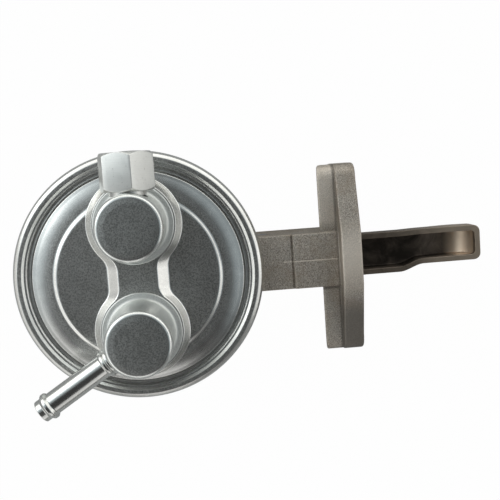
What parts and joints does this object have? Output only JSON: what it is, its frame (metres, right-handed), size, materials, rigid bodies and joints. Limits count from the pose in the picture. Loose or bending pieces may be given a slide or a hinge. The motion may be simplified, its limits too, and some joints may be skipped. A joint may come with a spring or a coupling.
{
  "type": "mechanical fuel pump",
  "caption": "Mechanical diaphragm fuel pump: cast bolt-on body, crimped steel cover with valve cups, hex outlet, hose inlet and a sprung rocker arm driven by a cam.",
  "frame": {"origin": "on the mounting face, in the pump's mid-plane, on the land between the arm's mouth and the flange's lower edge", "axes": "+X out of the mounting face into the engine along the rocker arm, +Y to the outlet fitting, +Z along the pump's axis to the valve cups"},
  "size_m": [0.2063, 0.106, 0.076],
  "materials": {
    "die_cast_aluminium": "as cast, fine grain, warm grey",
    "zinc_plated_sheet": "clear zinc plated pressed sheet",
    "zinc_plated_cup": "clear zinc plated drawn cup",
    "plated_fitting": "bright zinc plated",
    "oiled_arm_steel": "dark brown, oiled",
    "bright_plate": "plain bright steel",
    "spring_steel": "drawn and ground steel",
    "black_rubber": "matt moulded rubber",
    "fabric_rubber": "rubber coated fabric",
    "valve_brass": "turned"
  },
  "bodies": {
    "root": {"body_casting": "die_cast_aluminium", "fuel_cover": "zinc_plated_sheet", "outlet_cup": "zinc_plated_cup", "inlet_cup": "zinc_plated_cup", "outlet_fitting": "plated_fitting", "inlet_tube": "plated_fitting", "outlet_valve_cage": "valve_brass", "outlet_valve_spring": "spring_steel", "outlet_valve_stem": "spring_steel", "inlet_valve_cage": "valve_brass", "inlet_valve_spring": "spring_steel", "inlet_valve_stem": "spring_steel", "diaphragm": "fabric_rubber", "oil_seal": "black_rubber", "seal_retainer": "bright_plate", "diaphragm_spring": "spring_steel", "pivot_pin": "spring_steel", "rocker_spring": "spring_steel"},
    "rocker": {"rocker_arm": "oiled_arm_steel"},
    "link": {"link_lever": "oiled_arm_steel"},
    "rod": {"pull_rod": "spring_steel", "diaphragm_upper_plate": "bright_plate", "diaphragm_lower_plate": "bright_plate"},
    "outlet_disc": {"outlet_valve_disc": "black_rubber"},
    "inlet_disc": {"inlet_valve_disc": "black_rubber"}
  },
  "joints": [
    {"name": "rocker_swing", "type": "hinge", "parent": "root", "child": "rocker", "pos_m": [-0.042, 0, 0.0172], "axis": [0, -1, 0], "range_deg": [0, 5], "stiffness_Nm_per_rad": 5, "springref_deg": -5.73, "deforming": ["rocker_spring"]},
    {"name": "link_swing", "type": "hinge", "parent": "root", "child": "link", "pos_m": [-0.042, 0, 0.0172], "axis": [0, -1, 0], "range_deg": [0, 5]},
    {"name": "rod_slide", "type": "slide", "parent": "root", "child": "rod", "axis": [0, 0, -1], "range_m": [0, 0.0048], "deforming": ["diaphragm", "diaphragm_spring"]},
    {"name": "outlet_disc_lift", "type": "slide", "parent": "root", "child": "outlet_disc", "axis": [0, 0, 1], "range_m": [0, 0.0012], "stiffness_N_per_m": 30, "springref_m": -0.002, "deforming": ["outlet_valve_spring"]},
    {"name": "inlet_disc_lift", "type": "slide", "parent": "root", "child": "inlet_disc", "axis": [0, 0, -1], "range_m": [0, 0.0012], "stiffness_N_per_m": 30, "springref_m": -0.002, "deforming": ["inlet_valve_spring"]}
  ],
  "couplings": [
    {"joint": "link_swing", "follows": "rocker_swing", "ratio": 1},
    {"joint": "rod_slide", "follows": "rocker_swing", "m_per_rad": 0.0543}
  ]
}
